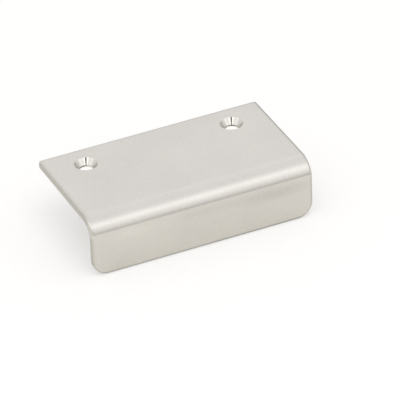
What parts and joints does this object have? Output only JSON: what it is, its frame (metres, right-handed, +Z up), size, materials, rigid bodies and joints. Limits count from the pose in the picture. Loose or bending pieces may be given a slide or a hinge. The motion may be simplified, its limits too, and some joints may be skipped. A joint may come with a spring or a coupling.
{
  "type": "tab pull",
  "caption": "Tab pull folded from satin metal sheet: a flat plate with countersunk fixing holes and a square lip, rounded at its lower corners, to pull by.",
  "frame": {"origin": "midway between the axes of the fixing holes, on the underside of the plate, which sits on the door or drawer edge", "axes": "+X along the width of the pull, +Y from the lip towards the plate's free end, +Z up out of the plate's show face; the lip hangs down towards -Z at the -Y side"},
  "size_m": [0.0762, 0.0416, 0.02],
  "materials": {
    "satin_nickel": "satin nickel: fine brushed flats, a smoother buffed fold and rubbed edges"
  },
  "bodies": {
    "root": {"tab_pull": "satin_nickel"}
  },
  "joints": []
}
